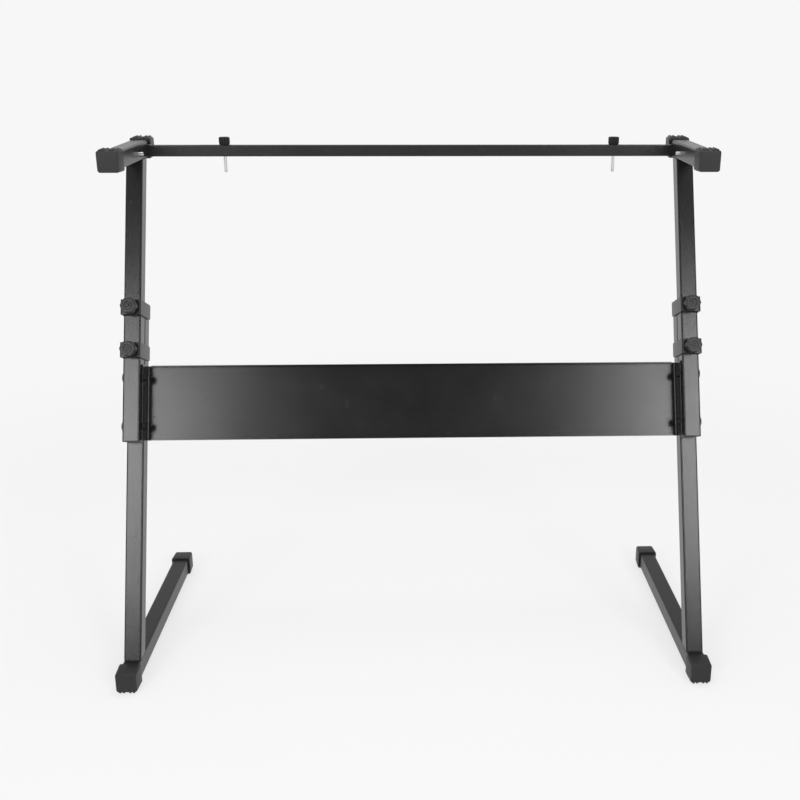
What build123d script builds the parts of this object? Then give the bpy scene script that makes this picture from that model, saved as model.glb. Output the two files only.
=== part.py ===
from build123d import *
import math
import os

os.makedirs("parts", exist_ok=True)

# Keyboard stand: two leaning legs of square tube on front-to-back feet.
# The front tube of each leg slides up and down in front of the rear one.
# It carries a level-ish arm on top, and both are joined by a sheet panel and a rail.
# +X is across the stand, +Y is to the back, +Z is up; the floor is at Z = 0.
# The origin is at the middle of the footprint. All sizes are millimetres and degrees.

# Square tube
tube = 25.0
tube_wall = 1.5
tube_corner = 2.5

# Stance
leg_spacing = 826.0
lean = 22.0
foot_length = 398.0
toe_length = 41.0

# Lengths of the leg tubes, along the lean
lower_length = 524.0
upper_length = 420.0
tube_overlap = 206.0
slide_gap = 0.4

# Arm on top of the front tube
arm_tilt = 1.9
arm_front = 141.0
arm_rear = 71.0

# Moulded tube caps
cap_length = 28.0
cap_wall = 3.2
cap_end = 3.5
cap_corner = 3.5
cap_edge = 1.2
sole = 3.0
rib_height = 1.2
rib_width = 3.0
rib_pitch = 5.2
rib_pair_pitch = 14.2

# Tube plugs
plug_flange = 2.0
plug_depth = 12.0

# Clamp brackets of folded sheet
clamp_sheet = 2.0
clamp_height = 22.0
clamp_reach = 8.0
clamp_side_gap = 0.3
clamp_bend = 2.5
clamp_back_corner = 3.0
clamp_spacing = 63.0

# Clamp screws
stud_radius = 4.0
thread_gap = 0.06
nut_flats = 13.0
nut_height = 5.5
pad_radius = 6.0
pad_thickness = 1.0
pad_gap = 0.2
knob_radius = 12.5
knob_lobes = 6
knob_height = 12.0
knob_hub_radius = 5.5
knob_stand_off = 3.0
knob_crown = 2.0
knob_ring_radius = 6.4
knob_ring_width = 1.5
knob_boss_radius = 2.5

# Cross panel of folded sheet
sheet = 1.5
sheet_bend = 2.5
panel_height = 111.5
panel_lift = 3.0
panel_setback = 37.0
flange_setback = 8.7
lip_depth = 9.0
lip_relief = 5.0
panel_bolt_pitch = 72.0
shim = 0.5
shim_radius = 8.0

# Panel bolts
bolt_radius = 3.0
bolt_hole_gap = 0.2
bolt_head_radius = 8.5
bolt_head_height = 3.2
bolt_nut_flats = 10.0
bolt_nut_height = 5.0

# Top rail
rail_height = 17.0
rail_depth = 11.0
rail_wall = 1.5
rail_corner = 1.5
rail_setback = 2.2
rail_rise = 1.0
rail_end_flange = 5.0
rail_end_proud = 1.0
rail_end_plug = 15.0
rail_bolt_head_radius = 5.25
rail_bolt_head_height = 3.3

# Bolts across the arms
arm_bolt_radius = 2.5
arm_bolt_head_radius = 4.75
arm_bolt_head_height = 3.5
arm_bolt_reach = 20.5
arm_bolt_rise = 10.5
arm_bolt_stick_out = 7.0

# Thumb screws in the rail's slots
slot_length = 50.0
slot_width = 5.6
slot_inset = 103.5
thumb_shift = 12.8
thumb_radius = 2.5
thumb_neck_radius = 2.3
thumb_shank_below = 24.0
thumb_head_radius = 8.25
thumb_head_height = 10.5
thumb_flutes = 14
thumb_flute_radius = 1.1
washer_radius = 7.5
washer_thickness = 1.0
washer_gap = 0.1

# Worked out from the sizes above
half_spacing = leg_spacing / 2
inner_face = half_spacing - tube / 2
outer_face = half_spacing + tube / 2
foot_top = tube + sole + rib_height
lower_front_y = -foot_length / 2 + toe_length
up_lean = (0, math.sin(math.radians(lean)), math.cos(math.radians(lean)))
along_arm = (0, math.cos(math.radians(arm_tilt)), math.sin(math.radians(arm_tilt)))
upper_front = -slide_gap - tube
clamp_inner_front = upper_front - clamp_reach
clamp_outer_front = clamp_inner_front - clamp_sheet
upper_clamp_base = lower_length + plug_flange - clamp_height
lower_clamp_base = upper_clamp_base - clamp_spacing
upper_raise = lower_length - tube_overlap
panel_base = upper_raise + panel_lift
panel_middle = panel_base + panel_height / 2
panel_face = upper_front + panel_setback
panel_half_width = inner_face - shim


def leg_plane(x):
    """Cross-section plane of a leg: its +Z runs up the lean and its +Y to the back.

    Its origin is where the rear tube's front face meets the top of the foot.
    """
    return Plane(origin=(x, lower_front_y, foot_top), x_dir=(1, 0, 0), z_dir=up_lean)


def arm_plane(x):
    """Cross-section plane of an arm: its +Z runs back along the arm and its +Y is down.

    Its origin is where the front tube's front face meets the arm's underside.
    """
    corner = leg_plane(x).from_local_coords((0, upper_front, upper_raise + upper_length))
    return Plane(origin=corner, x_dir=(1, 0, 0), z_dir=along_arm)


def moved(plane, point):
    """The same plane with its origin moved to a point given in its own coordinates."""
    return Plane(origin=plane.from_local_coords(point), x_dir=plane.x_dir, z_dir=plane.z_dir)


def save(piece, name):
    """Label a finished piece and write it to its own file."""
    piece.label = name
    export_step(piece, f"parts/{name}.step")


def tube_cap(mouth):
    """Moulded cap over a tube's end, drawn from its mouth towards its closed end.

    The tube's centre line is at the plane's origin, and the ribbed sole faces -Y.
    """
    with BuildPart() as cap:
        with BuildSketch(mouth):
            with Locations((0, (cap_wall - sole) / 2)):
                RectangleRounded(tube + 2 * cap_wall, tube + cap_wall + sole, cap_corner)
        extrude(amount=cap_length)
        chamfer(cap.faces().sort_by(Axis(mouth.origin, mouth.z_dir))[-1].edges(), cap_edge)
        with BuildSketch(mouth):
            RectangleRounded(tube, tube, tube_corner)
        extrude(amount=cap_length - cap_end, mode=Mode.SUBTRACT)
        # Four tread ribs in two pairs along the sole
        with BuildSketch(mouth.offset(1.0)):
            with Locations((0, -tube / 2 - sole)):
                with GridLocations(rib_pair_pitch, 1, 2, 1):
                    with GridLocations(rib_pitch, 1, 2, 1):
                        Rectangle(rib_width, 2 * rib_height)
        extrude(amount=cap_length - 4.0)
        tread = cap.faces().filter_by(
            lambda face: abs(face.normal_at().dot(mouth.y_dir) + 1) < 0.001
        ).group_by(Axis(mouth.origin, mouth.y_dir))[0]
        chamfer(tread.edges(), 0.6)
    return cap.part


def tube_outline(plane, amount):
    """Hollow square tube run up from a plane whose origin is on the tube's centre line."""
    with BuildPart() as run:
        with BuildSketch(plane):
            RectangleRounded(tube, tube, tube_corner)
            RectangleRounded(
                tube - 2 * tube_wall, tube - 2 * tube_wall, tube_corner - tube_wall, mode=Mode.SUBTRACT
            )
        extrude(amount=amount)
    return run.part


def tube_plug(plane):
    """Push-in plug: a flange outside the tube's end and a body inside it, along -Z."""
    with BuildPart() as plug:
        with BuildSketch(plane):
            RectangleRounded(tube, tube, tube_corner)
        extrude(amount=plug_flange)
        chamfer(plug.faces().sort_by(Axis(plane.origin, plane.z_dir))[-1].edges(), 0.5)
        with BuildSketch(plane):
            RectangleRounded(tube - 2 * tube_wall, tube - 2 * tube_wall, tube_corner - tube_wall)
        extrude(amount=-plug_depth)
    return plug.part


def clamp_bracket(base):
    """Folded bracket round both tubes of a leg, open at the back where it is welded.

    Its sides touch the rear tube and stand clear of the front tube that slides in it.
    """
    half_outer = tube / 2 + clamp_side_gap + clamp_sheet
    half_inner = tube / 2 + clamp_side_gap
    with BuildPart() as bracket:
        with BuildSketch(base) as outline:
            with Locations((0, (clamp_outer_front + tube) / 2)):
                Rectangle(2 * half_outer, tube - clamp_outer_front)
            front = outline.vertices().group_by(Axis.Y)[0]
            fillet(front, clamp_bend)
        extrude(amount=clamp_height)
        with BuildSketch(base):
            with Locations((0, (clamp_inner_front - slide_gap) / 2)):
                Rectangle(2 * half_inner, -slide_gap - clamp_inner_front)
            with Locations((0, (tube - slide_gap) / 2)):
                Rectangle(tube, tube + slide_gap)
        extrude(amount=clamp_height, mode=Mode.SUBTRACT)
        across = bracket.edges().filter_by(Axis.X)
        rear = across.group_by(Axis(base.origin, base.y_dir))[-1]
        fillet(rear, clamp_back_corner)
        # Clearance hole for the clamp screw
        with BuildSketch(screw_plane(base)):
            Circle(stud_radius + bolt_hole_gap)
        extrude(amount=-clamp_sheet, mode=Mode.SUBTRACT)
    return bracket.part


def screw_plane(base):
    """Plane on a bracket's front face, at the clamp screw, with +Z pointing out of it."""
    centre = base.from_local_coords((0, clamp_outer_front, clamp_height / 2))
    return Plane(origin=centre, x_dir=(1, 0, 0), z_dir=-base.y_dir)


def clamp_nut(screw):
    """Hexagon nut welded behind the bracket's front wall."""
    with BuildPart() as nut:
        with BuildSketch(screw.offset(-clamp_sheet)):
            RegularPolygon(nut_flats / 2, 6, major_radius=False)
            Circle(stud_radius + thread_gap, mode=Mode.SUBTRACT)
        extrude(amount=-nut_height)
    return nut.part


def clamp_pad(screw):
    """Round pressure pad between the screw's tip and the front tube."""
    with BuildPart() as pad:
        with BuildSketch(screw.offset(-clamp_sheet - clamp_reach + pad_gap)):
            Circle(pad_radius)
        extrude(amount=pad_thickness)
    return pad.part


def clamp_stud(screw):
    """Steel screw from the pad, through nut and bracket, into the knob."""
    tip = -clamp_sheet - clamp_reach + pad_gap + pad_thickness + thread_gap
    with BuildPart() as stud:
        with BuildSketch(screw.offset(tip)):
            Circle(stud_radius)
        extrude(amount=knob_stand_off + knob_height / 2 - tip)
        chamfer(stud.edges().filter_by(GeomType.CIRCLE), 0.5)
    return stud.part


def knob_head(screw):
    """Lobed plastic knob with a hub behind it and two raised rings on its front."""
    lobe_radius = knob_radius / 3
    back = screw.offset(knob_stand_off)
    front = back.offset(knob_height)
    with BuildPart() as knob:
        with BuildSketch(back) as outline:
            Circle(knob_radius - lobe_radius / 2)
            with PolarLocations(knob_radius - lobe_radius, knob_lobes, start_angle=90):
                Circle(lobe_radius)
            fillet(outline.vertices(), lobe_radius / 3)
        extrude(amount=knob_height)
        chamfer(knob.faces().sort_by(Axis(screw.origin, screw.z_dir))[-1].edges(), 1.6, 1.0)
        # Raised ring and boss on the front
        with BuildSketch(front):
            Circle(knob_ring_radius)
            Circle(knob_ring_radius - knob_ring_width, mode=Mode.SUBTRACT)
        extrude(amount=knob_crown / 2)
        with BuildSketch(front):
            Circle(knob_boss_radius)
        extrude(amount=knob_crown)
        # Hub behind, with the hole that the screw is moulded into
        with BuildSketch(back):
            Circle(knob_hub_radius)
        extrude(amount=0.6 - knob_stand_off)
        with BuildSketch(screw):
            Circle(stud_radius)
        extrude(amount=knob_stand_off + knob_height / 2, mode=Mode.SUBTRACT)
    return knob.part


def domed_bolt(plane, radius, head_radius, head_height, length, socket):
    """Bolt with a domed head outside the plane, a hex socket and a shank along -Z."""
    with BuildPart() as bolt:
        with BuildSketch(plane):
            Circle(head_radius)
        extrude(amount=head_height)
        fillet(bolt.edges().sort_by(Axis(plane.origin, plane.z_dir))[-1], head_height * 0.8)
        with BuildSketch(plane.offset(head_height)):
            RegularPolygon(socket / 2, 6, major_radius=False)
        extrude(amount=-head_height * 0.6, mode=Mode.SUBTRACT)
        with BuildSketch(plane):
            Circle(radius)
        extrude(amount=-length)
        chamfer(bolt.faces().sort_by(Axis(plane.origin, plane.z_dir))[0].edges(), 0.5)
    return bolt.part


def hex_nut(plane, radius, flats, height):
    """Plain hexagon nut standing on a plane."""
    with BuildPart() as nut:
        with BuildSketch(plane):
            RegularPolygon(flats / 2, 6, major_radius=False)
            Circle(radius + thread_gap, mode=Mode.SUBTRACT)
        extrude(amount=height)
    return nut.part


def across_plane(point, side):
    """Plane through a point with +Z pointing away from the stand's middle."""
    return Plane(origin=point, x_dir=(0, side, 0), z_dir=(side, 0, 0))


def panel_bolt_points(x):
    """The two places where a panel bolt crosses a front tube, at distance x."""
    middle = leg_plane(0)
    rows = (panel_middle - panel_bolt_pitch / 2, panel_middle + panel_bolt_pitch / 2)
    return [middle.from_local_coords((x, upper_front + tube / 2, row)) for row in rows]


# Rail box: it lies just behind the front tubes, low between the arms
slot_offset = inner_face - slot_inset
arm_middle = arm_plane(0)
tube_depth_on_arm = tube / math.cos(math.radians(lean + arm_tilt))
rail_front_low = arm_middle.from_local_coords((0, -rail_rise, tube_depth_on_arm + rail_setback))
rail_front = rail_front_low.Y
rail_base = rail_front_low.Z
rail_middle_y = rail_front + rail_depth / 2
rail_middle_z = rail_base + rail_height / 2
rail_top = rail_base + rail_height
arm_bolt_low = arm_middle.from_local_coords((0, -arm_bolt_rise, -arm_bolt_reach))

panel_bolts = []
panel_nuts = []
panel_shims = []
rail_bolts = []
arm_bolts = []

for side_name, side in (("left", -1), ("right", 1)):
    side_x = side * half_spacing
    leg = leg_plane(side_x)
    arm = arm_plane(side_x)

    # Foot tube on the floor, with a cap over each end
    foot_start = -foot_length / 2 + cap_end
    foot_axis_z = foot_top - tube / 2
    foot_base = Plane(origin=(side_x, foot_start, foot_axis_z), x_dir=(1, 0, 0), z_dir=(0, 1, 0))
    save(tube_outline(foot_base, foot_length - 2 * cap_end), f"{side_name}_foot_tube")
    front_mouth = Plane(
        origin=(side_x, -foot_length / 2 + cap_length, foot_axis_z), x_dir=(1, 0, 0), z_dir=(0, -1, 0)
    )
    save(tube_cap(front_mouth), f"{side_name}_foot_front_cap")
    rear_mouth = Plane(
        origin=(side_x, foot_length / 2 - cap_length, foot_axis_z), x_dir=(-1, 0, 0), z_dir=(0, 1, 0)
    )
    save(tube_cap(rear_mouth), f"{side_name}_foot_rear_cap")

    # Rear tube of the leg, cut to sit on the foot and welded to it
    with BuildPart() as lower_upright:
        add(tube_outline(moved(leg, (0, tube / 2, -tube)), lower_length + tube))
        split(bisect_by=Plane.XY.offset(foot_top), keep=Keep.TOP)
    save(lower_upright.part, f"{side_name}_lower_upright")
    lower_top = moved(leg, (0, tube / 2, lower_length))
    save(tube_plug(lower_top), f"{side_name}_lower_upright_plug")

    # Front tube of the leg, cut to fit under the arm and drilled for the panel bolts
    upper_end = moved(leg, (0, upper_front + tube / 2, upper_raise + plug_flange))
    arm_underside = Plane(origin=arm.origin, x_dir=(1, 0, 0), z_dir=-arm.y_dir)
    with BuildPart() as upper_upright:
        add(tube_outline(upper_end, upper_length + tube))
        split(bisect_by=arm_underside, keep=Keep.BOTTOM)
        for point in panel_bolt_points(side_x):
            with BuildSketch(across_plane(point, side)):
                Circle(bolt_radius + bolt_hole_gap)
            extrude(amount=tube, both=True, mode=Mode.SUBTRACT)
    save(upper_upright.part, f"{side_name}_upper_upright")
    plug_plane = Plane(origin=upper_end.origin, x_dir=(1, 0, 0), z_dir=-leg.z_dir)
    save(tube_plug(plug_plane), f"{side_name}_upper_upright_plug")

    # Arm tube, with a cap over each end, drilled for the rail bolt and the cross bolt
    arm_axis = moved(arm, (0, -tube / 2, -arm_front + cap_end))
    arm_bolt_point = Vector(side_x, arm_bolt_low.Y, arm_bolt_low.Z)
    rail_bolt_point = Vector(side_x, rail_middle_y, rail_middle_z)
    with BuildPart() as arm_tube:
        add(tube_outline(arm_axis, arm_front + arm_rear - 2 * cap_end))
        for point, radius in ((arm_bolt_point, arm_bolt_radius), (rail_bolt_point, bolt_radius)):
            with BuildSketch(across_plane(point, side)):
                Circle(radius + bolt_hole_gap / 2)
            extrude(amount=tube, both=True, mode=Mode.SUBTRACT)
    save(arm_tube.part, f"{side_name}_arm_tube")
    arm_front_mouth = Plane(
        origin=arm.from_local_coords((0, -tube / 2, -arm_front + cap_length)),
        x_dir=(-1, 0, 0),
        z_dir=-arm.z_dir,
    )
    save(tube_cap(arm_front_mouth), f"{side_name}_arm_front_cap")
    arm_rear_mouth = moved(arm, (0, -tube / 2, arm_rear - cap_length))
    save(tube_cap(arm_rear_mouth), f"{side_name}_arm_rear_cap")

    # Two clamp brackets on the rear tube, each with its nut, pad, screw and knob
    for level, base_height in (("upper", upper_clamp_base), ("lower", lower_clamp_base)):
        base = leg.offset(base_height)
        screw = screw_plane(base)
        clamp_name = f"{side_name}_{level}_clamp"
        save(clamp_bracket(base), clamp_name)
        save(clamp_nut(screw), f"{clamp_name}_nut")
        save(clamp_pad(screw), f"{clamp_name}_pad")
        save(clamp_stud(screw), f"{clamp_name}_stud")
        save(knob_head(screw), f"{clamp_name}_knob")

    # Bolts, nuts and shims that hold the panel's flange to the front tube
    grip = tube + shim + sheet
    for point in panel_bolt_points(side * outer_face):
        panel_bolts.append(
            domed_bolt(
                across_plane(point, side),
                bolt_radius,
                bolt_head_radius,
                bolt_head_height,
                grip + bolt_nut_height + 1,
                4,
            )
        )
    for point in panel_bolt_points(side * (panel_half_width - sheet)):
        panel_nuts.append(hex_nut(across_plane(point, -side), bolt_radius, bolt_nut_flats, bolt_nut_height))
    for point in panel_bolt_points(side * panel_half_width):
        with BuildPart() as panel_shim:
            with BuildSketch(across_plane(point, side)):
                Circle(shim_radius)
                Circle(bolt_radius + bolt_hole_gap, mode=Mode.SUBTRACT)
            extrude(amount=shim)
        panel_shims.append(panel_shim.part)

    # Threaded block in the rail's end and the bolt that reaches it through the arm
    end_plane = across_plane(Vector(side * inner_face, rail_middle_y, rail_middle_z), -side)
    with BuildPart() as rail_end:
        with BuildSketch(end_plane):
            RectangleRounded(rail_depth + 2 * rail_end_proud, rail_height + 2 * rail_end_proud, rail_corner)
        extrude(amount=rail_end_flange)
        with BuildSketch(end_plane.offset(rail_end_flange)):
            Rectangle(rail_depth - 2 * rail_wall, rail_height - 2 * rail_wall)
        extrude(amount=rail_end_plug)
        with BuildSketch(end_plane):
            Circle(bolt_radius + thread_gap)
        extrude(amount=rail_end_flange + rail_end_plug, mode=Mode.SUBTRACT)
    save(rail_end.part, f"{side_name}_rail_end")
    rail_bolt_plane = across_plane(Vector(side * outer_face, rail_middle_y, rail_middle_z), side)
    rail_bolts.append(
        domed_bolt(
            rail_bolt_plane,
            bolt_radius,
            rail_bolt_head_radius,
            rail_bolt_head_height,
            tube + rail_end_flange + rail_end_plug / 2,
            4,
        )
    )
    arm_bolt_plane = across_plane(Vector(side * outer_face, arm_bolt_low.Y, arm_bolt_low.Z), side)
    arm_bolts.append(
        domed_bolt(
            arm_bolt_plane,
            arm_bolt_radius,
            arm_bolt_head_radius,
            arm_bolt_head_height,
            tube + arm_bolt_stick_out,
            3,
        )
    )

    # Thumb screw standing in the rail's slot, with its washer under the head
    thumb_x = side * slot_offset + thumb_shift
    washer_plane = Plane(origin=(thumb_x, rail_middle_y, rail_top + washer_gap))
    with BuildPart() as washer:
        with BuildSketch(washer_plane):
            Circle(washer_radius)
            Circle(thumb_radius + thread_gap, mode=Mode.SUBTRACT)
        extrude(amount=washer_thickness)
    save(washer.part, f"{side_name}_thumb_washer")
    head_plane = washer_plane.offset(washer_thickness + washer_gap)
    with BuildPart() as shank:
        with BuildSketch(head_plane.offset(thumb_head_height / 2)):
            Circle(thumb_radius)
        extrude(amount=-thumb_head_height / 2 - 2 * washer_gap - washer_thickness)
        # Slimmer neck where the screw stands in the rail
        with BuildSketch(Plane(origin=(thumb_x, rail_middle_y, rail_top))):
            Circle(thumb_neck_radius)
        extrude(amount=-rail_height)
        with BuildSketch(Plane(origin=(thumb_x, rail_middle_y, rail_base))):
            Circle(thumb_radius)
        extrude(amount=-thumb_shank_below)
        chamfer(shank.faces().sort_by(Axis.Z)[0].edges(), 0.6)
    save(shank.part, f"{side_name}_thumb_shank")
    with BuildPart() as head:
        with BuildSketch(head_plane):
            Circle(thumb_head_radius)
            with PolarLocations(thumb_head_radius + thumb_flute_radius / 3, thumb_flutes):
                Circle(thumb_flute_radius, mode=Mode.SUBTRACT)
        extrude(amount=thumb_head_height)
        with BuildSketch(head_plane):
            Circle(thumb_radius)
        extrude(amount=thumb_head_height / 2, mode=Mode.SUBTRACT)
    save(head.part, f"{side_name}_thumb_head")

# Cross panel: one sheet with side flanges and edge lips folded forwards
panel_plane = leg_plane(0).offset(panel_base)
with BuildPart() as cross_panel:
    with BuildSketch(panel_plane) as tray:
        depth = panel_face + sheet - (upper_front + flange_setback)
        with Locations((0, panel_face + sheet - depth / 2)):
            Rectangle(2 * panel_half_width, depth)
        fillet(tray.vertices().group_by(Axis.Y)[-1], sheet_bend + sheet)
    extrude(amount=panel_height)
    with BuildSketch(panel_plane) as hollow:
        with Locations((0, panel_face - depth / 2)):
            Rectangle(2 * (panel_half_width - sheet), depth)
        fillet(hollow.vertices().group_by(Axis.Y)[-1], sheet_bend)
    extrude(amount=panel_height, mode=Mode.SUBTRACT)
    lip_half = panel_half_width - sheet - sheet_bend - lip_relief
    for level in (0, panel_height - sheet):
        with BuildSketch(panel_plane.offset(level)):
            with Locations((0, panel_face + sheet - (lip_depth + sheet) / 2)):
                Rectangle(2 * lip_half, lip_depth + sheet)
        extrude(amount=sheet)
    for side in (-1, 1):
        for point in panel_bolt_points(side * panel_half_width):
            with BuildSketch(across_plane(point, side)):
                Circle(bolt_radius + bolt_hole_gap)
            extrude(amount=-sheet, mode=Mode.SUBTRACT)
save(cross_panel.part, "cross_panel")

# Top rail: a slim rectangular tube with a slot for each thumb screw
rail_length = 2 * (inner_face - rail_end_flange)
rail_start = Plane(origin=(-rail_length / 2, rail_middle_y, rail_middle_z), x_dir=(0, 1, 0), z_dir=(1, 0, 0))
with BuildPart() as rail:
    with BuildSketch(rail_start):
        RectangleRounded(rail_depth, rail_height, rail_corner)
        Rectangle(rail_depth - 2 * rail_wall, rail_height - 2 * rail_wall, mode=Mode.SUBTRACT)
    extrude(amount=rail_length)
    with BuildSketch(Plane.XY.offset(rail_base)):
        for side in (-1, 1):
            with Locations((side * slot_offset, rail_middle_y)):
                SlotOverall(slot_length, slot_width)
    extrude(amount=rail_height, mode=Mode.SUBTRACT)
save(rail.part, "top_rail")

save(Compound(children=panel_bolts), "panel_bolts")
save(Compound(children=panel_nuts), "panel_nuts")
save(Compound(children=panel_shims), "panel_shims")
save(Compound(children=rail_bolts), "rail_bolts")
save(Compound(children=arm_bolts), "arm_bolts")
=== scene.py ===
"""Keyboard stand on two leaning legs of square tube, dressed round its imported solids."""

import math

import bmesh
import bpy
from mathutils import Matrix, Vector


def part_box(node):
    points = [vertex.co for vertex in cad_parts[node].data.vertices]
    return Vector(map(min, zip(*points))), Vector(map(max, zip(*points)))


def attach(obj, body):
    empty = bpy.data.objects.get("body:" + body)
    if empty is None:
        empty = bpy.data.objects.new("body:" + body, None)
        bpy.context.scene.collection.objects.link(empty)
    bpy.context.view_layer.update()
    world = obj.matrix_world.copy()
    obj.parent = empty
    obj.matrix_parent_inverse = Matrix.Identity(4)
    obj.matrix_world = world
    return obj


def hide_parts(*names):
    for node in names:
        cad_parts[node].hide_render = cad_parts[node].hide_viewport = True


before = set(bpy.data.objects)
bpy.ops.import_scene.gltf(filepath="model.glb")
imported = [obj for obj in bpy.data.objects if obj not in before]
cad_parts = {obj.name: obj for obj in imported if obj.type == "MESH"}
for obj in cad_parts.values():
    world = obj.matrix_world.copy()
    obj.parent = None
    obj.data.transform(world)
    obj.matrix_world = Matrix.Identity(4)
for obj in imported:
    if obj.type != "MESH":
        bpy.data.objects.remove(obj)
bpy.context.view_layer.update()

# Square tubes: the two feet, the rear and front tubes of both legs, and the two arms.
# They are drawn steel tube, sawn and mitred, welded to each other and then powder coated
# in one go, so every joint is covered by the same satin black skin.


class Wire:
    """A socket in a node tree. Sums written on it become Math nodes."""

    def __init__(self, graph, socket):
        self.graph = graph
        self.socket = socket

    def __add__(self, other):
        return self.graph.math("ADD", self, other)

    __radd__ = __add__

    def __sub__(self, other):
        return self.graph.math("SUBTRACT", self, other)

    def __rsub__(self, other):
        return self.graph.math("SUBTRACT", other, self)

    def __mul__(self, other):
        return self.graph.math("MULTIPLY", self, other)

    __rmul__ = __mul__

    def __truediv__(self, other):
        return self.graph.math("DIVIDE", self, other)

    def __pow__(self, other):
        return self.graph.math("POWER", self, other)

    def between(self, low, high):
        """0 below low, 1 above high, and a smooth step from one to the other."""
        settings = {"interpolation_type": "SMOOTHSTEP"}
        inputs = {"Value": self, "From Min": low, "From Max": high}
        return self.graph.node("ShaderNodeMapRange", settings, inputs)


class Graph:
    """A node tree, and the one method that makes its nodes."""

    def __init__(self, tree):
        self.tree = tree

    def node(self, kind, settings=None, inputs=None, output=0):
        made = self.tree.nodes.new(kind)
        for key, value in (settings or {}).items():
            setattr(made, key, value)
        for key, value in (inputs or {}).items():
            for item in value if isinstance(value, list) else [value]:
                if isinstance(item, Wire):
                    self.tree.links.new(item.socket, made.inputs[key])
                else:
                    made.inputs[key].default_value = item
        return Wire(self, made.outputs[output])

    def math(self, operation, *values):
        return self.node("ShaderNodeMath", {"operation": operation}, dict(enumerate(values)))


class Finish(Graph):
    """One material: its Principled BSDF and the patterns that feed it."""

    def __init__(self, name, **shader):
        self.material = bpy.data.materials.new(name)
        self.material.use_nodes = True
        super().__init__(self.material.node_tree)
        self.tree.nodes.clear()
        self.shader = self.tree.nodes.new("ShaderNodeBsdfPrincipled")
        self.output = self.tree.nodes.new("ShaderNodeOutputMaterial")
        self.tree.links.new(self.shader.outputs[0], self.output.inputs["Surface"])
        self.place = self.node("ShaderNodeTexCoord", output="Object")
        for socket, value in shader.items():
            self.set(socket.replace("_", " "), value)

    def set(self, socket, value):
        named = {name.lower(): name for name in self.shader.inputs.keys()}
        target = self.shader.inputs[named[socket.lower()]]
        if isinstance(value, Wire):
            self.tree.links.new(value.socket, target)
        else:
            target.default_value = value

    def noise(self, size, detail, place=None):
        """Cloudy noise whose features are about size metres across, from 0 to 1."""
        inputs = {"Vector": place or self.place, "Scale": 1 / size, "Detail": detail}
        return self.node("ShaderNodeTexNoise", {}, inputs)

    def stretched(self, tilt, stretch):
        """Object coordinates turned by tilt about X and squeezed along the new Z."""
        inputs = {"Vector": self.place, "Rotation": (tilt, 0, 0), "Scale": (1, 1, 1 / stretch)}
        return self.node("ShaderNodeMapping", {}, inputs)

    def blend(self, share, first, second):
        """A colour between two, by a share from 0 to 1."""
        inputs = {0: share, 6: first, 7: second}
        return self.node("ShaderNodeMix", {"data_type": "RGBA"}, inputs, output=2)

    def relief(self, height, depth):
        """Raises the surface by height times depth metres, in its normals."""
        self.set("Normal", self.node("ShaderNodeBump", {}, {"Height": height, "Distance": depth}))


coat_black = (0.0070, 0.0070, 0.0076, 1)
coat_greyed = (0.0170, 0.0170, 0.0178, 1)
coat_scuffed = (0.045, 0.045, 0.046, 1)
peel_depth = 0.00005
rub_stretch = 28
leg_lean = math.radians(22.0)
level_tilt = math.radians(90)


def powder_coat(name, peel_size, gloss, tilt):
    """Cured powder: fine orange peel, cloudy sheen, rub marks along the piece and dust."""
    coat = Finish(name, specular_ior_level=0.42)
    peel = coat.noise(peel_size, 1.0)
    grain = coat.noise(peel_size / 4, 0.0)
    cloud = coat.noise(0.055, 3.0)
    handling = coat.noise(0.012, 4.0).between(0.58, 0.80)
    rubs = coat.noise(0.0016, 2.0, coat.stretched(tilt, rub_stretch)).between(0.68, 0.78) * handling
    dust = coat.noise(0.0012, 0.0).between(0.78, 0.84)
    worn = coat.blend(cloud * 0.5 + handling * 0.25, coat_black, coat_greyed)
    coat.set("Base Color", coat.blend(rubs * 0.35 + dust * 0.25, worn, coat_scuffed))
    coat.set("Roughness", cloud * 0.07 + handling * 0.03 + grain * 0.05 + gloss)
    coat.relief(peel * 0.75 + grain * 0.25, peel_depth)
    return coat.material


def dress(material, *names):
    """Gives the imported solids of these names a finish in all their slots."""
    for name in names:
        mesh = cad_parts[name].data
        for index in range(len(mesh.materials)):
            mesh.materials[index] = material


sides = ("left", "right")
upright_coat = powder_coat("satin_black_powder_coat_uprights", 0.0011, 0.175, leg_lean)
foot_coat = powder_coat("satin_black_powder_coat_feet", 0.0011, 0.30, level_tilt)
arm_coat = powder_coat("satin_black_powder_coat_arms", 0.0011, 0.23, level_tilt)
for side in sides:
    dress(upright_coat, f"{side}_lower_upright", f"{side}_upper_upright")
    dress(foot_coat, f"{side}_foot_tube")
    dress(arm_coat, f"{side}_arm_tube")

# Weld beads: short runs of arc weld where a tube stands on another and at the back of
# each clamp bracket. They were laid before the coating, so they are rippled, soft-edged
# and black like the tubes.


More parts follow.
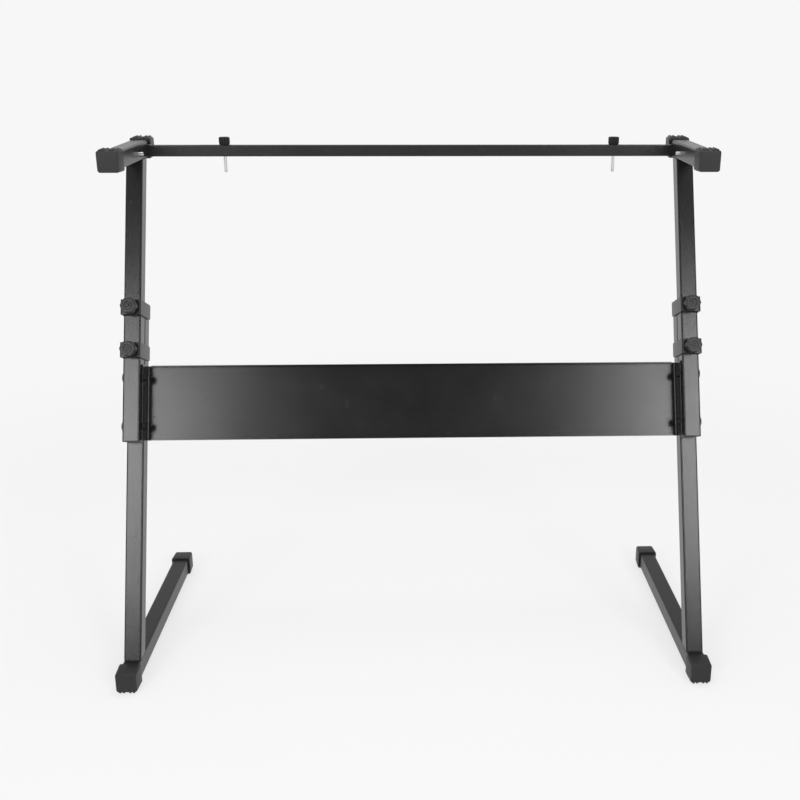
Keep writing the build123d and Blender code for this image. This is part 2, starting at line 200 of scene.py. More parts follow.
class Maker(Graph):
    """A Geometry Nodes tree that adds to, or sets pieces on, the mesh it is given."""

    def __init__(self, name, **sizes):
        super().__init__(bpy.data.node_groups.new(name, "GeometryNodeTree"))
        for way in ("INPUT", "OUTPUT"):
            self.add_socket("Geometry", way, "NodeSocketGeometry")
        kinds = {float: "NodeSocketFloat", int: "NodeSocketInt", tuple: "NodeSocketVector"}
        self.values = sizes
        self.sockets = {}
        for size, value in sizes.items():
            kind = kinds.get(type(value), "NodeSocketObject")
            kind = "NodeSocketMaterial" if isinstance(value, bpy.types.Material) else kind
            self.sockets[size] = self.add_socket(size, "INPUT", kind).identifier
        self.given = self.tree.nodes.new("NodeGroupInput")
        self.start = Wire(self, self.given.outputs[0])

    def __getitem__(self, size):
        return Wire(self, self.given.outputs[size])

    def add_socket(self, name, way, kind):
        return self.tree.interface.new_socket(name, in_out=way, socket_type=kind)

    def vector(self, x, y, z):
        return self.node("ShaderNodeCombineXYZ", {}, {0: x, 1: y, 2: z})

    def end(self, *shapes):
        """Joins the shapes, makes them real, and gives them the finish."""
        joined = self.node("GeometryNodeJoinGeometry", {}, {0: list(shapes)})
        real = self.node("GeometryNodeRealizeInstances", {}, {0: joined})
        dressed = self.node("GeometryNodeSetMaterial", {}, {0: real, "Material": self["finish"]})
        output = self.tree.nodes.new("NodeGroupOutput")
        self.tree.links.new(dressed.socket, output.inputs[0])

    def make(self, mesh, **changed):
        """The mesh that comes out of the tree for this one."""
        helper = bpy.data.objects.new(mesh.name, mesh)
        bpy.context.scene.collection.objects.link(helper)
        modifier = helper.modifiers.new(self.tree.name, "NODES")
        modifier.node_group = self.tree
        for size, value in {**self.values, **changed}.items():
            modifier[self.sockets[size]] = value
        evaluated = helper.evaluated_get(bpy.context.evaluated_depsgraph_get())
        made = bpy.data.meshes.new_from_object(evaluated)
        bpy.data.objects.remove(helper)
        return made


def plain_mesh(name, points, edges=(), faces=()):
    mesh = bpy.data.meshes.new(name)
    mesh.from_pydata([tuple(point) for point in points], list(edges), list(faces))
    return mesh


def place_piece(mesh, name, body, slot, *stands_for, sharp=35):
    """Puts a finished mesh in the scene, on its body, in place of the solids it stands for."""
    shell = bmesh.new()
    shell.from_mesh(mesh)
    bmesh.ops.recalc_face_normals(shell, faces=shell.faces)
    shell.to_mesh(mesh)
    shell.free()
    mesh.shade_smooth()
    mesh.set_sharp_from_angle(angle=math.radians(sharp))
    piece = bpy.data.objects.new(name, mesh)
    bpy.context.scene.collection.objects.link(piece)
    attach(piece, body)
    if stands_for:
        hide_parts(*stands_for)


weld = Maker("weld_bead", ripple=0.0009, radius=0.0010, seed=7, finish=upright_coat)
weld_path = weld.node("GeometryNodeMeshToCurve", {}, {0: weld.start})
weld_steps = weld.node(
    "GeometryNodeResampleCurve",
    {"mode": "LENGTH"},
    {"Curve": weld_path, "Length": weld["ripple"]},
)
weld_drop = weld.node(
    "GeometryNodeMeshUVSphere",
    {},
    {"Segments": 9, "Rings": 5, "Radius": weld["radius"]},
)
weld_swell = weld.node(
    "FunctionNodeRandomValue",
    {"data_type": "FLOAT"},
    {2: 0.8, 3: 1.15, "Seed": weld["seed"]},
    output=1,
)
weld_scale = weld.vector(weld_swell, weld_swell, weld_swell)
weld_drops = {"Points": weld_steps, "Instance": weld_drop, "Scale": weld_scale}
weld.end(weld.node("GeometryNodeInstanceOnPoints", {}, weld_drops))


leg_foot = {}
for side in sides:
    upright_low, upright_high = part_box(f"{side}_lower_upright")
    foot_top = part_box(f"{side}_foot_tube")[1].z
    leg_foot[side] = Vector(((upright_low.x + upright_high.x) / 2, upright_low.y, foot_top))


def leg_point(side, across, back, along):
    """A point given in a leg's own directions, from the front foot of its rear tube."""
    forth = back * math.cos(leg_lean) + along * math.sin(leg_lean)
    rise = along * math.cos(leg_lean) - back * math.sin(leg_lean)
    return leg_foot[side] + Vector((across, forth, rise))


def ring_faces(rings, size):
    """The faces between rings of points, each of this size and closed on itself."""
    faces = []
    for first in range(0, (rings - 1) * size, size):
        for step in range(size):
            after = (step + 1) % size
            above = first + size
            faces.append((first + step, first + after, above + after, above + step))
    return faces


tube_half = 0.0125
bracket_height = 0.022
bracket_end = 0.0205
bracket_round = 0.003
bracket_bases = {"upper": 0.504, "lower": 0.441}
root_bead_half = tube_half - 0.003
root_bead_lift = 0.0002
root_depth = 2 * tube_half / math.cos(leg_lean)
side_bead_half = tube_half + 0.0006
for side in sides:
    points = [
        leg_foot[side] + Vector((across, forth, root_bead_lift))
        for forth in (0, root_depth)
        for across in (-root_bead_half, root_bead_half)
    ]
    edges = [(0, 1), (2, 3)]
    for base in bracket_bases.values():
        for across in (-side_bead_half, side_bead_half):
            edges.append((len(points), len(points) + 1))
            for along in (bracket_round, bracket_height - bracket_round):
                points.append(leg_point(side, across, bracket_end, base + along))
    beads = weld.make(plain_mesh(f"{side}_leg_weld_path", points, edges))
    place_piece(beads, f"{side}_leg_welds", f"{side}_leg", "black_coating", sharp=80)

# Clamp brackets: strips of steel sheet folded round both tubes of a leg, welded to the
# rear tube and coated with it. A nut behind the front wall carries the clamp screw, whose
# tip turns in a round zinc plated pad that presses on the sliding tube.
bracket_coat = powder_coat("satin_black_powder_coat_brackets", 0.0009, 0.27, leg_lean)

zinc = Finish("bright_zinc_plating", metallic=0.8)
zinc_cloud = zinc.noise(0.004, 3.0)
zinc_pits = zinc.noise(0.0005, 1.0)
turned = zinc.noise(0.0004, 1.0, zinc.stretched(0, 0.12))
zinc_dull = (0.66, 0.67, 0.69, 1)
zinc_bright = (0.82, 0.82, 0.80, 1)
zinc.set("Base Color", zinc.blend(zinc_cloud, zinc_dull, zinc_bright))
zinc.set("Roughness", zinc_cloud * 0.14 + zinc_pits * 0.08 + 0.24)
zinc.relief(turned * 0.5 + zinc_pits * 0.5, 0.00003)
bracket_sheet = 0.002
bracket_half = 0.0148
bracket_front = -0.0354
bracket_bend = 0.0025
bend_steps = 6
round_steps = 5


def bracket_outline(inset, end):
    """The bent strip's line from one free end to the other, drawn in by inset."""
    half = bracket_half - inset
    front = bracket_front + inset
    bend = bracket_bend - inset
    line = [(-half, end)]
    for corner, first in ((-half + bend, 180), (half - bend, 270)):
        for step in range(bend_steps + 1):
            angle = math.radians(first + step * 90 / bend_steps)
            line.append((corner + bend * math.cos(angle), front + bend + bend * math.sin(angle)))
    return line + [(half, end)]


def bracket_mesh(side, base):
    """A folded bracket whose four free corners are rounded."""
    turns = [math.pi / 2 * step / round_steps for step in range(round_steps + 1)]
    rows = [bracket_round * (1 - math.cos(turn)) for turn in turns]
    rows += [bracket_height - row for row in reversed(rows)]
    points = []
    for row in rows:
        to_corner = max(bracket_round - min(row, bracket_height - row), 0)
        end = bracket_end - bracket_round + math.sqrt(bracket_round**2 - to_corner**2)
        section = bracket_outline(0, end) + bracket_outline(bracket_sheet, end)[::-1]
        points += [leg_point(side, across, back, base + row) for across, back in section]
    size = len(points) // len(rows)
    faces = ring_faces(len(rows), size)
    half = size // 2
    for first in (0, (len(rows) - 1) * size):
        last = first + size - 1
        for step in range(half - 1):
            faces.append((first + step, first + step + 1, last - 1 - step, last - step))
    mesh = plain_mesh(f"{side}_bracket", points, faces=faces)
    mesh.materials.append(bracket_coat)
    return mesh


for side in sides:
    for tier, base in bracket_bases.items():
        clamp = f"{side}_{tier}_clamp"
        bracket = bracket_mesh(side, base)
        place_piece(bracket, f"{side}_{tier}_bracket", f"{side}_leg", "black_coating", clamp)
        dress(zinc.material, f"{clamp}_nut", f"{clamp}_pad", f"{clamp}_stud")

# Clamp knobs: six-lobed hand knobs of glass filled nylon, moulded on the screw's head,
# with a hub behind and a raised ring and boss on the front.
knob_lobes = 6
knob_steps = 16 * knob_lobes
knob_back = 0.0123
knob_size = 0.96
lobe_depth = 0.13
lobe_roundness = 0.45
knob_profile = [
    (0.0043, -0.0022, 0),
    (0.0053, -0.0024, 0),
    (0.0056, -0.0021, 0),
    (0.0056, 0.0000, 0),
    (0.0112, 0.0000, 1),
    (0.0121, 0.0003, 1),
    (0.0125, 0.0011, 1),
    (0.0125, 0.0085, 1),
    (0.0123, 0.0101, 1),
    (0.0117, 0.0113, 1),
    (0.0107, 0.0119, 1),
    (0.0090, 0.0120, 0.7),
    (0.0069, 0.0119, 0),
    (0.0065, 0.0123, 0),
    (0.0062, 0.0129, 0),
    (0.0053, 0.0130, 0),
    (0.0050, 0.0126, 0),
    (0.0047, 0.0119, 0),
    (0.0027, 0.0119, 0),
    (0.0025, 0.0130, 0),
    (0.0021, 0.0138, 0),
    (0.0010, 0.0140, 0),
]


def lobed_radius(angle, radius, lobing):
    """Radius at an angle: full on a lobe and drawn in by lobe_depth between lobes."""
    wave = (1 + math.cos(knob_lobes * angle)) / 2
    return radius * (1 - lobing * lobe_depth * (1 - wave**lobe_roundness))


def turned_mesh(name, profile, steps, radius_at):
    """Closed body round +Z from a profile of radius, height and a third value."""
    points = []
    for radius, height, third in profile:
        for step in range(steps):
            angle = 2 * math.pi * step / steps
            reach = radius_at(angle, radius, third)
            points.append((reach * math.cos(angle), reach * math.sin(angle), height))
    faces = ring_faces(len(profile), steps)
    faces.append(tuple(reversed(range(steps))))
    faces.append(tuple(range((len(profile) - 1) * steps, len(profile) * steps)))
    return plain_mesh(name, points, faces=faces)


knob_plastic = Finish("black_knob_nylon", specular_ior_level=0.45)
knob_fibre = knob_plastic.noise(0.0009, 2.0)
knob_cloud = knob_plastic.noise(0.008, 3.0)
knob_touch = knob_plastic.noise(0.004, 3.0).between(0.55, 0.75)
knob_black = (0.014, 0.014, 0.0145, 1)
knob_greyed = (0.032, 0.0315, 0.032, 1)
knob_share = knob_cloud * 0.7 + knob_touch * 0.3
knob_plastic.set("Base Color", knob_plastic.blend(knob_share, knob_black, knob_greyed))
knob_plastic.set("Roughness", knob_cloud * 0.1 + knob_fibre * 0.08 - knob_touch * 0.06 + 0.34)
knob_plastic.relief(knob_fibre, 0.00003)

knob_turn = Matrix.Rotation(math.radians(90) - leg_lean, 4, "X")
knob_front = knob_turn @ Vector((0, 0, 1))
for side in sides:
    for tier in bracket_bases:
        pad_low, pad_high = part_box(f"{side}_{tier}_clamp_pad")
        knob_place = Matrix.Translation((pad_low + pad_high) / 2 + knob_front * knob_back)
        knob_mesh = turned_mesh("knob", knob_profile, knob_steps, lobed_radius)
        knob_mesh.materials.append(knob_plastic.material)
        knob_mesh.transform(knob_place @ knob_turn @ Matrix.Scale(knob_size, 4))
        place_piece(
            knob_mesh,
            f"{side}_{tier}_hand_knob",
            f"{side}_{tier}_knob",
            "black_knob_plastic",
            f"{side}_{tier}_clamp_knob",
        )

# Tube caps: soft moulded caps pushed over the ends of the feet and the arms. Their thick
# sole has four rounded tread ribs, which grip the floor under a foot and the keyboard's
# underside on an arm.
cap_length = 0.028
cap_wall = 0.0032
cap_sole = 0.003
cap_corner = 0.0035
cap_end = 0.0035
cap_draft = 0.0008
mouth_corner = 0.0025
rib_rise = 0.0012
quarter_steps = 7


def cap_ring(inset, corner, depth):
    """A rounded rectangle round the tube, drawn in by inset, at a depth from the mouth."""
    half = tube_half + cap_wall - inset
    low = -tube_half - cap_sole + inset
    centres = (
        (half - corner, half - corner),
        (-half + corner, half - corner),
        (-half + corner, low + corner),
        (half - corner, low + corner),
    )
    ring = []
    for quarter, (x, y) in enumerate(centres):
        for step in range(quarter_steps):
            angle = math.pi / 2 * (quarter + step / (quarter_steps - 1))
            ring.append((x + corner * math.cos(angle), y + corner * math.sin(angle), depth))
    return ring


mouth_inset = cap_wall - 0.00005
cap_skin = (
    (0.0006, 0),
    (0.0001, 0.0005),
    (0.0, 0.0013),
    (0.0001, cap_length - 0.0022),
    (0.00035, cap_length - 0.0011),
    (0.0009, cap_length - 0.0004),
)
cap_rings = [
    cap_ring(mouth_inset, mouth_corner, cap_length - cap_end),
    cap_ring(mouth_inset, mouth_corner, 0.0004),
    cap_ring(mouth_inset - 0.0004, 0.0027, 0),
]
for inset, depth in cap_skin:
    cap_rings.append(cap_ring(inset + cap_draft * depth / cap_length, cap_corner, depth))
cap_rings.append(cap_ring(0.0018, cap_corner, cap_length - 0.00005))
cap_rings.append(cap_ring(0.0026, cap_corner, cap_length))
ring_size = len(cap_rings[0])
cap_points = [point for ring in cap_rings for point in ring]
cap_faces = ring_faces(len(cap_rings), ring_size)
cap_faces.append(tuple(reversed(range(ring_size))))
cap_faces.append(tuple(range(len(cap_points) - ring_size, len(cap_points))))
cap_shell = plain_mesh("cap_shell", cap_points, faces=cap_faces)

cap_plastic = Finish("black_cap_plastic_moulded", specular_ior_level=0.42)
cap_grain = cap_plastic.noise(0.0007, 1.0)
cap_cloud = cap_plastic.noise(0.014, 3.0)
cap_scuff = cap_plastic.noise(0.0025, 4.0).between(0.62, 0.78)
cap_black = (0.007, 0.007, 0.0075, 1)
cap_greyed = (0.019, 0.019, 0.0195, 1)
cap_share = cap_cloud * 0.6 + cap_scuff * 0.4
cap_plastic.set("Base Color", cap_plastic.blend(cap_share, cap_black, cap_greyed))
cap_plastic.set("Roughness", cap_cloud * 0.1 + cap_grain * 0.1 - cap_scuff * 0.06 + 0.38)
cap_plastic.relief(cap_grain * 0.8 + cap_cloud * 0.2, 0.00006)

tread = Maker(
    "tread_ribs",
    rib_radius=0.0019,
    rib_length=0.0236,
    rib_pitch=0.0052,
    pair_pitch=0.0142,
    rib_centre=(0.0, -0.0148, 0.0142),
    finish=cap_plastic.material,
)
rib_bar = tread.node(
    "GeometryNodeMeshCylinder",
    {"fill_type": "NGON"},
    {"Vertices": 20, "Radius": tread["rib_radius"], "Depth": tread["rib_length"]},
)
ribs = rib_bar
for pitch in (tread["rib_pitch"], tread["pair_pitch"]):
    two_places = tread.node(
        "GeometryNodeMeshLine",
        {"mode": "OFFSET"},
        {
            "Count": 2,
            "Start Location": tread.vector(pitch * -0.5, 0, 0),
            "Offset": tread.vector(pitch, 0, 0),
        },
    )
    ribs = tread.node("GeometryNodeInstanceOnPoints", {}, {"Points": two_places, "Instance": ribs})
ribs_placed = tread.node(
    "GeometryNodeTransform", {}, {"Geometry": ribs, "Translation": tread["rib_centre"]}
)
tread.end(tread.start, ribs_placed)
ribbed_cap = tread.make(cap_shell)

arm_tilt = math.radians(1.9)
along_arm = Vector((0, math.cos(arm_tilt), math.sin(arm_tilt)))
under_arm = Vector((0, math.sin(arm_tilt), -math.cos(arm_tilt)))
cap_ways = {
    "foot_front_cap": (Vector((0, -1, 0)), Vector((0, 0, 1)), "leg"),
    "foot_rear_cap": (Vector((0, 1, 0)), Vector((0, 0, 1)), "leg"),
    "arm_front_cap": (-along_arm, under_arm, "frame"),
    "arm_rear_cap": (along_arm, under_arm, "frame"),
}
cap_centre = Vector((0, (cap_wall - cap_sole - rib_rise) / 2, cap_length / 2))
for side in sides:
    for cap, (outwards, from_sole, carrier) in cap_ways.items():
        cap_low, cap_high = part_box(f"{side}_{cap}")
        across = from_sole.cross(outwards)
        turn = Matrix((across, from_sole, outwards)).transposed().to_4x4()
        place = Matrix.Translation((cap_low + cap_high) / 2)
        cap_mesh = ribbed_cap.copy()
        cap_mesh.transform(place @ turn @ Matrix.Translation(-cap_centre))
        body = f"{side}_leg" if carrier == "leg" else "upper_frame"
        place_piece(cap_mesh, f"{side}_{cap}_moulded", body, "black_cap_plastic", f"{side}_{cap}")

# Tube plugs: ribbed plugs of hard plastic that close the cut ends of the leg tubes, with
# only their thin flange showing.
plug_plastic = Finish("black_plug_plastic", specular_ior_level=0.45)
plug_grain = plug_plastic.noise(0.0009, 1.0)
plug_cloud = plug_plastic.noise(0.01, 2.0)
plug_black = (0.012, 0.012, 0.013, 1)
plug_greyed = (0.025, 0.025, 0.025, 1)
plug_plastic.set("Base Color", plug_plastic.blend(plug_cloud, plug_black, plug_greyed))
plug_plastic.set("Roughness", plug_cloud * 0.1 + plug_grain * 0.06 + 0.32)
plug_plastic.relief(plug_grain, 0.00004)
for side in sides:
    dress(plug_plastic.material, f"{side}_lower_upright_plug", f"{side}_upper_upright_plug")

# Cross panel: one steel sheet with its sides folded forwards as flanges and its long
# edges as stiffening lips, powder coated after folding.
panel_coat = powder_coat("satin_black_powder_coat_panel", 0.0012, 0.175, level_tilt)
dress(panel_coat, "cross_panel")

# Panel fasteners: low domed machine screws with a hexagon socket, black oxide finished,
# go through each front tube into nuts behind the panel's flange, past a thin plastic shim.
screw_steps = 36
dome_radius = 0.0085
dome_height = 0.0032
socket_radius = 0.0022
dome_profile = [
    (0.0030, -0.0320, 0),
    (0.0030, -0.0002, 0),
    (dome_radius - 0.0003, 0.0, 0),
    (dome_radius, 0.0004, 0),
    (dome_radius, 0.0008, 0),
    (0.0079, 0.0016, 0),
    (0.0070, 0.0023, 0),
    (0.0056, 0.0029, 0),
    (0.0040, dome_height, 0),
    (socket_radius + 0.0003, dome_height, 0),
    (socket_radius, dome_height - 0.0003, 1),
    (socket_radius, 0.0012, 1),
]


def socket_radius_at(angle, radius, hexed):
    """A plain circle, or the flats of a hexagon where the third value is 1."""
    corner = (angle % (math.pi / 3)) - math.pi / 6
    return radius * (1 - hexed + hexed * math.cos(math.pi / 6) / math.cos(corner))


oxide = Finish("black_oxide_with_oil_film", metallic=0.6, specular_ior_level=0.5)
oxide_cloud = oxide.noise(0.003, 3.0)
oxide_grain = oxide.noise(0.0004, 1.0)
oxide_black = (0.014, 0.014, 0.015, 1)
oxide_rubbed = (0.045, 0.044, 0.043, 1)
oxide.set("Base Color", oxide.blend(oxide_cloud, oxide_black, oxide_rubbed))
oxide.set("Roughness", oxide_cloud * 0.12 + oxide_grain * 0.08 + 0.26)
oxide.relief(oxide_grain, 0.00002)

screw_mesh = turned_mesh("domed_screw", dome_profile, screw_steps, socket_radius_at)
domed_screw = bpy.data.objects.new("domed_screw", screw_mesh)
fastened = Maker(
    "screws_at_places",
    screw=domed_screw,
    turn=(0.0, 0.0, 0.0),
    size=1.0,
    finish=oxide.material,
)
screw_shape = fastened.node(
    "GeometryNodeObjectInfo",
    {"transform_space": "ORIGINAL"},
    {"Object": fastened["screw"]},
    output="Geometry",
)
screw_turn = fastened.node("FunctionNodeEulerToRotation", {}, {0: fastened["turn"]})
screw_size = fastened.vector(fastened["size"], fastened["size"], fastened["size"])
screws_set = fastened.node(
    "GeometryNodeInstanceOnPoints",
    {},
    {
        "Points": fastened.start,
        "Instance": screw_shape,
        "Rotation": screw_turn,
        "Scale": screw_size,
    },
)
fastened.end(screws_set)
outward_turn = {"left": (0.0, -math.pi / 2, 0.0), "right": (0.0, math.pi / 2, 0.0)}
bolt_low, bolt_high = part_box("panel_bolts")
bolt_rows = (
    (bolt_low.y + dome_radius, bolt_low.z + dome_radius),
    (bolt_high.y - dome_radius, bolt_high.z - dome_radius),
)
for side, sign in zip(sides, (-1, 1)):
    face_x = sign * (bolt_high.x - dome_height)
    places = plain_mesh(f"{side}_panel_screw_places", [(face_x, *row) for row in bolt_rows])
    screws = fastened.make(places, turn=outward_turn[side])
    place_piece(screws, f"{side}_panel_screws", "upper_frame", "black_screw_finish", "panel_bolts")

# Black phosphate, darkened past the parts' own colour as painted shade. The nuts and plastic shims
# behind the panel's flange get it so that the recess there reads as shadow, and the thumb screw
# washers get it so that they sink into the shade under the heads.
phosphate = Finish("dull_black_phosphate", specular_ior_level=0.22)
phosphate_cloud = phosphate.noise(0.002, 3.0)
phosphate_black_and_painted_shade = (0.003, 0.003, 0.0032, 1)
phosphate_greyed_in_painted_shade = (0.008, 0.008, 0.008, 1)
phosphate_and_painted_shade_tint = phosphate.blend(phosphate_cloud, phosphate_black_and_painted_shade, phosphate_greyed_in_painted_shade)
phosphate.set("Base Color", phosphate_and_painted_shade_tint)
phosphate.set("Roughness", phosphate_cloud * 0.12 + 0.5)
phosphate.relief(phosphate_cloud, 0.00003)
dress(phosphate.material, "panel_nuts", "panel_shims")

# Top rail: a slim rectangular tube bolted between the arms, with a long slot near each
# end. A threaded block closes each end, and a domed screw reaches it through the arm.
rail_coat = powder_coat("satin_black_powder_coat_rail", 0.001, 0.20, level_tilt)
dress(rail_coat, "top_rail", "left_rail_end", "right_rail_end")
rail_bolt_low, rail_bolt_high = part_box("rail_bolts")
rail_bolt_centre = (rail_bolt_low + rail_bolt_high) / 2
rail_bolt_size = (rail_bolt_high.z - rail_bolt_low.z) / 2 / dome_radius
rail_bolt_rise = 0.0033
for side, sign in zip(sides, (-1, 1)):
    place = rail_bolt_centre.copy()
    place.x = sign * (rail_bolt_high.x - rail_bolt_rise)
    places = plain_mesh(f"{side}_rail_screw_place", [place])
    screws = fastened.make(places, turn=outward_turn[side], size=rail_bolt_size)
    place_piece(screws, f"{side}_rail_screw", "upper_frame", "black_screw_finish", "rail_bolts")
dress(zinc.material, "arm_bolts")

# Thumb screws: long zinc plated screws with a fluted plastic head, dropped through the
# rail's slots over a plain washer. Their threads reach into the keyboard above or hang free.
ridge_share = 0.4675
thread = Maker(
    "screw_thread",
    radius=0.0025,
    pitch=0.0008,
    turns=28.0,
    foot=(0.0, 0.0, 0.0),
    finish=zinc.material,
)
ridge_radius = thread["pitch"] * ridge_share
path_radius = thread["radius"] - ridge_radius
thread_path = thread.node(
    "GeometryNodeCurveSpiral",
    {},
    {
        "Resolution": 26,
        "Rotations": thread["turns"],
        "Start Radius": path_radius,
        "End Radius": path_radius,
        "Height": thread["turns"] * thread["pitch"],
    },
)
thread_section = thread.node(
    "GeometryNodeCurvePrimitiveCircle", {}, {"Resolution": 5, "Radius": ridge_radius}
)
thread_ridge = thread.node(
    "GeometryNodeCurveToMesh",
    {},
    {"Curve": thread_path, "Profile Curve": thread_section, "Fill Caps": True},
)
thread_placed = thread.node(
    "GeometryNodeTransform", {}, {"Geometry": thread_ridge, "Translation": thread["foot"]}
)
thread.end(thread.start, thread_placed)

head_plastic = Finish("black_thumb_head_plastic", specular_ior_level=0.3)
head_cloud = head_plastic.noise(0.006, 3.0)
head_grain = head_plastic.noise(0.0006, 1.0)
head_black = (0.004, 0.004, 0.0043, 1)
head_greyed = (0.011, 0.011, 0.011, 1)
head_plastic.set("Base Color", head_plastic.blend(head_cloud, head_black, head_greyed))
head_plastic.set("Roughness", head_cloud * 0.1 + head_grain * 0.08 + 0.38)
head_plastic.relief(head_grain, 0.00003)

head_radius = 0.0082
flute_count = 14
head_steps = 10 * flute_count
flutes = Maker(
    "fluted_head",
    flutes=flute_count,
    depth=0.0011,
    radius=head_radius,
    finish=head_plastic.material,
)
point_place = flutes.node("GeometryNodeInputPosition")
point_x, point_y, point_z = (
    flutes.node("ShaderNodeSeparateXYZ", {}, {0: point_place}, output=axis) for axis in range(3)
)
point_reach = (point_x * point_x + point_y * point_y) ** 0.5
point_angle = flutes.math("ARCTAN2", point_y, point_x)
flute_wave = flutes.math("COSINE", point_angle * flutes["flutes"])
flute_cut = flutes.math("MAXIMUM", flute_wave, 0.0) ** 1.5 * flutes["depth"]
flute_edge = (point_reach / flutes["radius"]).between(0.8, 0.97)
flute_share = 1 - flute_cut * flute_edge / flutes.math("MAXIMUM", point_reach, 0.0005)
fluted_place = flutes.vector(point_x * flute_share, point_y * flute_share, point_z)
fluted = flutes.node(
    "GeometryNodeSetPosition", {}, {"Geometry": flutes.start, "Position": fluted_place}
)
flutes.end(fluted)

thumb_profile = [
    (0.0030, 0.0000, 0),
    (0.0066, 0.0000, 0),
    (0.0079, 0.0003, 0),
    (head_radius, 0.0010, 0),
    (head_radius, 0.0085, 0),
    (0.0080, 0.0096, 0),
    (0.0074, 0.0102, 0),
    (0.0064, 0.0105, 0),
    (0.0052, 0.0104, 0),
    (0.0046, 0.0099, 0),
    (0.0020, 0.0098, 0),
]
shank_steps = 28
plain_tip = 0.0007


def plain_radius(_angle, radius, _third):
    """A plain circle: the profile's own radius at every angle."""
    return radius


for side in sides:
    shank_low, shank_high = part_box(f"{side}_thumb_shank")
    head_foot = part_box(f"{side}_thumb_head")[0].z
    centre_x = (shank_low.x + shank_high.x) / 2
    centre_y = (shank_low.y + shank_high.y) / 2
    shank_length = shank_high.z - shank_low.z
    shank_profile = [
        (0.0012, 0.0, 0),
        (0.0019, 0.0005, 0),
        (0.0021, 0.0008, 0),
        (0.0021, shank_length - 0.0002, 0),
        (0.0019, shank_length, 0),
    ]
    core = turned_mesh(f"{side}_thumb_core", shank_profile, shank_steps, plain_radius)
    core.transform(Matrix.Translation((centre_x, centre_y, shank_low.z)))
    thread_foot = (centre_x, centre_y, shank_low.z + plain_tip)
    place_piece(
        thread.make(core, foot=thread_foot),
        f"{side}_threaded_shank",
        f"{side}_thumb_screw",
        "zinc_plated_steel",
        f"{side}_thumb_shank",
        sharp=50,
    )
    blank = turned_mesh(f"{side}_thumb_blank", thumb_profile, head_steps, plain_radius)
    head = flutes.make(blank)
    head.transform(Matrix.Translation((centre_x, centre_y, head_foot)))
    place_piece(
        head,
        f"{side}_fluted_head",
        f"{side}_thumb_screw",
        "black_knob_plastic",
        f"{side}_thumb_head",
    )
    # The washer takes the near-black finish that is partly painted shade under the thumb head.
    dress(phosphate.material, f"{side}_thumb_washer")

# Camera: a 47 mm lens on a 36 mm frame, one and a half metres in front of the stand, a
# little above its arms and pitched down. Its place and shift are those of the photograph.
camera_place = Vector((0.0049, -1.5068, 0.8486))
camera_yaw = math.radians(1.91)
camera_pitch = math.radians(17.49)
camera_roll = math.radians(0.09)
photo_width = 800
camera_focal = 1042.3 / photo_width
camera_shift = -50.3 / photo_width

view = Vector(
    (
        math.sin(camera_yaw) * math.cos(camera_pitch),
        math.cos(camera_yaw) * math.cos(camera_pitch),
        -math.sin(camera_pitch),
    )
)
level_right = Vector((math.cos(camera_yaw), -math.sin(camera_yaw), 0))
level_up = level_right.cross(view)
camera_right = math.cos(camera_roll) * level_right + math.sin(camera_roll) * level_up
camera_up = -math.sin(camera_roll) * level_right + math.cos(camera_roll) * level_up
lens = bpy.data.cameras.new("camera")
lens.sensor_width = 36.0
lens.lens = camera_focal * lens.sensor_width
lens.shift_x = camera_shift
lens.clip_start = 0.05
lens.clip_end = 60
camera = bpy.data.objects.new("camera", lens)
camera_turn = Matrix((camera_right, camera_up, -view)).transposed().to_4x4()
camera.matrix_world = Matrix.Translation(camera_place) @ camera_turn
bpy.context.scene.collection.objects.link(camera)
bpy.context.scene.camera = camera

# Floor: a wide sheet of pale studio paper. It takes the stand's soft shadow near it and
# fades into the plain white of the backdrop further off.
backdrop_white = (0.93, 0.93, 0.93, 1)
paper_white = (0.83, 0.83, 0.83, 1)
floor_reach = 12
fade_start = 0.6
fade_end = 1.9
near_glow = 0.70
floor_signs = ((-1, -1), (1, -1), (1, 1), (-1, 1))
floor_corners = [(x * floor_reach, y * floor_reach, 0) for x, y in floor_signs]
floor_mesh = plain_mesh("floor", floor_corners, faces=[(0, 1, 2, 3)])
floor = bpy.data.objects.new("floor", floor_mesh)
bpy.context.scene.collection.objects.link(floor)
paper = Finish(
    "pale_studio_paper", roughness=0.95, specular_ior_level=0.0, base_color=paper_white
)
floor_distance = paper.node(
    "ShaderNodeVectorMath", {"operation": "LENGTH"}, {0: paper.place}, output="Value"
)
glow_share = floor_distance.between(fade_start, fade_end) * (1 - near_glow) + near_glow
floor_lit = Wire(paper, paper.shader.outputs[0])
floor_glow = paper.node("ShaderNodeEmission", {}, {"Color": backdrop_white, "Strength": 1.0})
floor_mix = paper.node("ShaderNodeMixShader", {}, {0: glow_share, 1: floor_lit, 2: floor_glow})
paper.tree.links.new(floor_mix.socket, paper.output.inputs["Surface"])
floor_mesh.materials.append(paper.material)

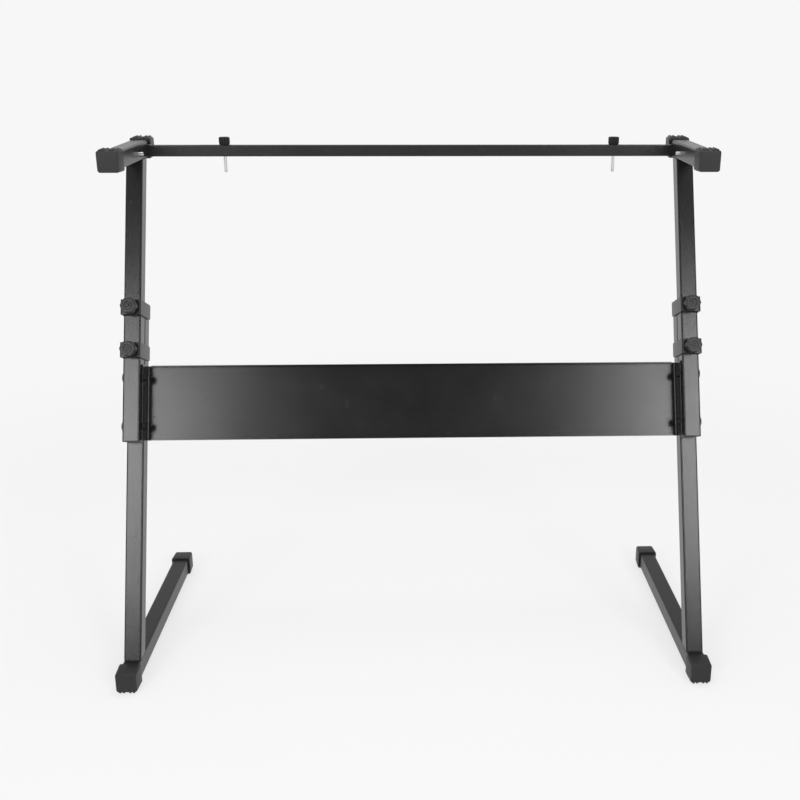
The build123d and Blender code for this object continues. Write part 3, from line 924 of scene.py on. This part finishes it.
# Studio: a white room behind and beside the stand, and a dimmer one behind the camera,
# which is what the front faces mirror between the two soft boxes.
pure_white = (1, 1, 1, 1)
front_wall_glow = 0.08
back_wall_glow = 0.85
ceiling_dimming = 0.5
ambient_strength = 0.55
studio = bpy.data.worlds.new("studio")
bpy.context.scene.world = studio
studio.use_nodes = True
room = Graph(studio.node_tree)
room.tree.nodes.clear()
direction = room.node("ShaderNodeTexCoord", output="Generated")
backwards = room.node("ShaderNodeSeparateXYZ", {}, {0: direction}, output=1)
upwards = room.node("ShaderNodeSeparateXYZ", {}, {0: direction}, output=2)
wall_glow = backwards.between(-0.75, 0.05) * back_wall_glow + front_wall_glow
ceiling_shade = upwards.between(0.2, 0.5) * ceiling_dimming


def room_light(colour, strength):
    return room.node("ShaderNodeBackground", {}, {"Color": colour, "Strength": strength})


backdrop = room_light(backdrop_white, 1.0)
mirrored = room_light(pure_white, wall_glow * (1 - ceiling_shade))
ambient = room_light(pure_white, ambient_strength)
seen = room.node("ShaderNodeLightPath", output="Is Camera Ray")
through = room.node("ShaderNodeLightPath", output="Is Transmission Ray")
glossy = room.node("ShaderNodeLightPath", output="Is Glossy Ray")
lit_room = room.node("ShaderNodeMixShader", {}, {0: glossy, 1: ambient, 2: mirrored})
plain_view = room.math("MAXIMUM", seen, through)
whole_room = room.node("ShaderNodeMixShader", {}, {0: plain_view, 1: lit_room, 2: backdrop})
room_output = room.tree.nodes.new("ShaderNodeOutputWorld")
room.tree.links.new(whole_room.socket, room_output.inputs["Surface"])

# Lamps: two upright soft boxes in front, one to each side of the camera and above it, and
# a wide one overhead.
softboxes = {
    "left_softbox": ((-1.53, -3.0, 1.56), 0.9, 1.35, 44),
    "right_softbox": ((1.5, -3.0, 1.62), 0.9, 1.35, 45),
    "overhead_softbox": ((0.0, 0.4, 3.2), 2.4, 2.0, 40),
}
aim = Vector((0, 0, 0.45))
for name, (lamp_place, width, height, power) in softboxes.items():
    lamp = bpy.data.lights.new(name, "AREA")
    lamp.shape = "RECTANGLE"
    lamp.size = width
    lamp.size_y = height
    lamp.energy = power
    holder = bpy.data.objects.new(name, lamp)
    holder.location = lamp_place
    holder.rotation_euler = (aim - Vector(lamp_place)).to_track_quat("-Z", "Y").to_euler()
    bpy.context.scene.collection.objects.link(holder)

bpy.context.scene.view_settings.view_transform = "Standard"
